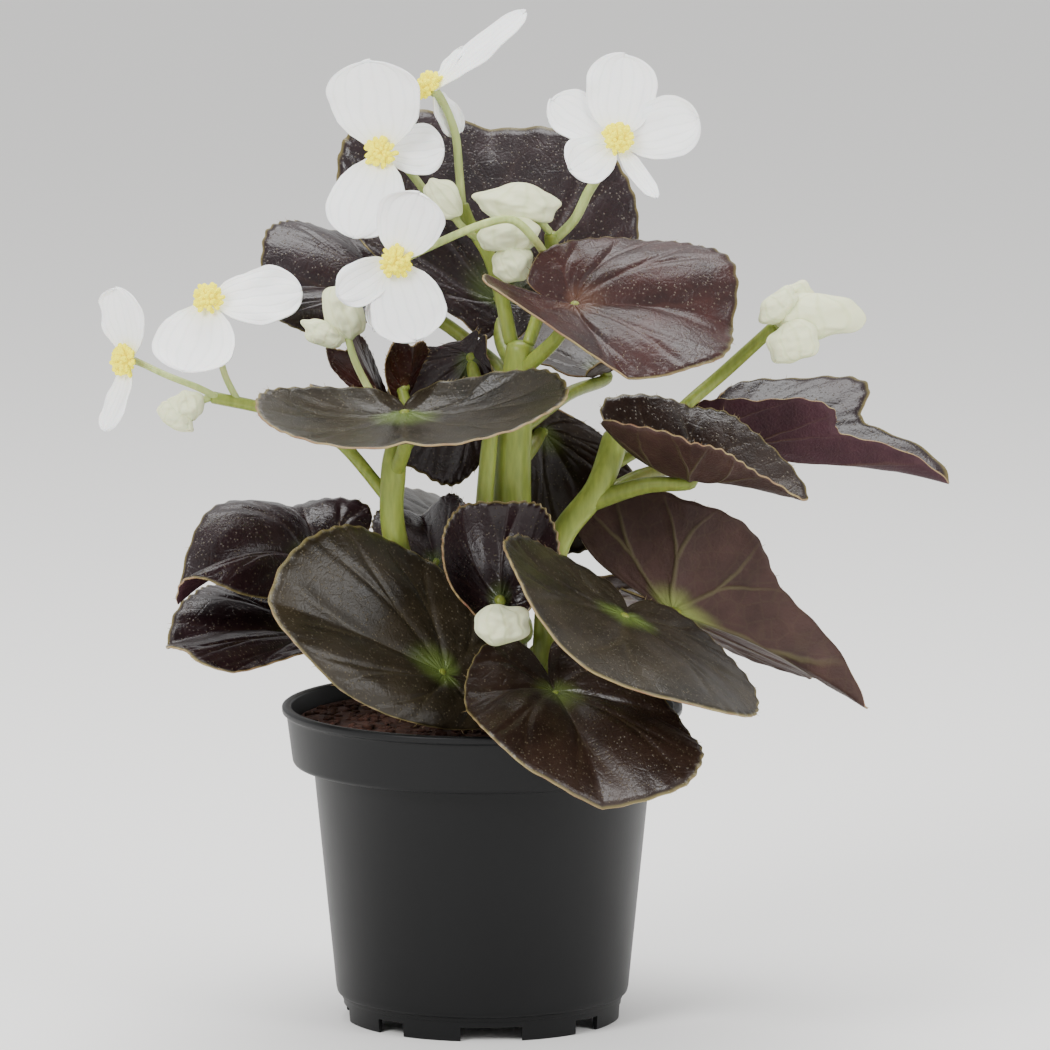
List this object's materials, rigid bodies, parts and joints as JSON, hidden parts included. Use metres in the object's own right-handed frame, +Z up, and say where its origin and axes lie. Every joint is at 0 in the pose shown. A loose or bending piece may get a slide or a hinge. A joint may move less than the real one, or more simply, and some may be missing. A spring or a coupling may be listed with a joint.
{
  "type": "potted begonia",
  "caption": "Flowering bronze-leaved begonia with white flowers and pale buds, growing in a tapered black nursery pot that stands on a flat base.",
  "frame": {"origin": "under the middle of the whole plant's bounding box, at the surface that the pot stands on; the pot's axis is at x -0.01145, y -0.00295", "axes": "+Z up; -Y is the plant's open front, with the flowers; +X to the right seen from the front"},
  "size_m": [0.2221, 0.1622, 0.2644],
  "materials": {
    "pot_plastic": "injection-moulded black polypropylene, satin",
    "peat": "loose peat crumb, matt",
    "stem_green": "fleshy translucent stem, smooth",
    "leaf_bronze": "bronze-green leaf, waxy gloss with fine speckles",
    "petal_white": "white petal, soft satin",
    "stamen_yellow": "yellow pollen, matt",
    "bud_cream": "pale green-cream bud, soft satin"
  },
  "bodies": {
    "root": {"buds_back": "bud_cream", "buds_centre": "bud_cream", "buds_far_left": "bud_cream", "buds_left": "bud_cream", "buds_low": "bud_cream", "buds_right": "bud_cream", "flower_far_left": "petal_white", "flower_far_left_stamens": "stamen_yellow", "flower_left": "petal_white", "flower_left_stamens": "stamen_yellow", "flower_middle": "petal_white", "flower_middle_stamens": "stamen_yellow", "flower_right": "petal_white", "flower_right_stamens": "stamen_yellow", "flower_top": "petal_white", "flower_top_stamens": "stamen_yellow", "flower_upper": "petal_white", "flower_upper_stamens": "stamen_yellow", "leaf_back_top": "leaf_bronze", "leaf_behind_right": "leaf_bronze", "leaf_cup": "leaf_bronze", "leaf_dark_centre": "leaf_bronze", "leaf_far_right": "leaf_bronze", "leaf_front_left": "leaf_bronze", "leaf_front_middle": "leaf_bronze", "leaf_front_right": "leaf_bronze", "leaf_front_rim": "leaf_bronze", "leaf_inner_left": "leaf_bronze", "leaf_left_back": "leaf_bronze", "leaf_left_dome": "leaf_bronze", "leaf_left_low": "leaf_bronze", "leaf_low_right": "leaf_bronze", "leaf_rear_high": "leaf_bronze", "leaf_rear_low_left": "leaf_bronze", "leaf_rear_low_right": "leaf_bronze", "leaf_rear_middle": "leaf_bronze", "leaf_rear_right": "leaf_bronze", "leaf_right_middle": "leaf_bronze", "leaf_right_top": "leaf_bronze", "leaf_young_left": "leaf_bronze", "leaf_young_right": "leaf_bronze", "left_stem": "stem_green", "main_stem": "stem_green", "nursery_pot": "pot_plastic", "peduncle_back": "stem_green", "peduncle_centre": "stem_green", "peduncle_left": "stem_green", "peduncle_right": "stem_green", "potting_soil": "peat", "right_stem": "stem_green", "second_stem": "stem_green"}
  },
  "joints": []
}
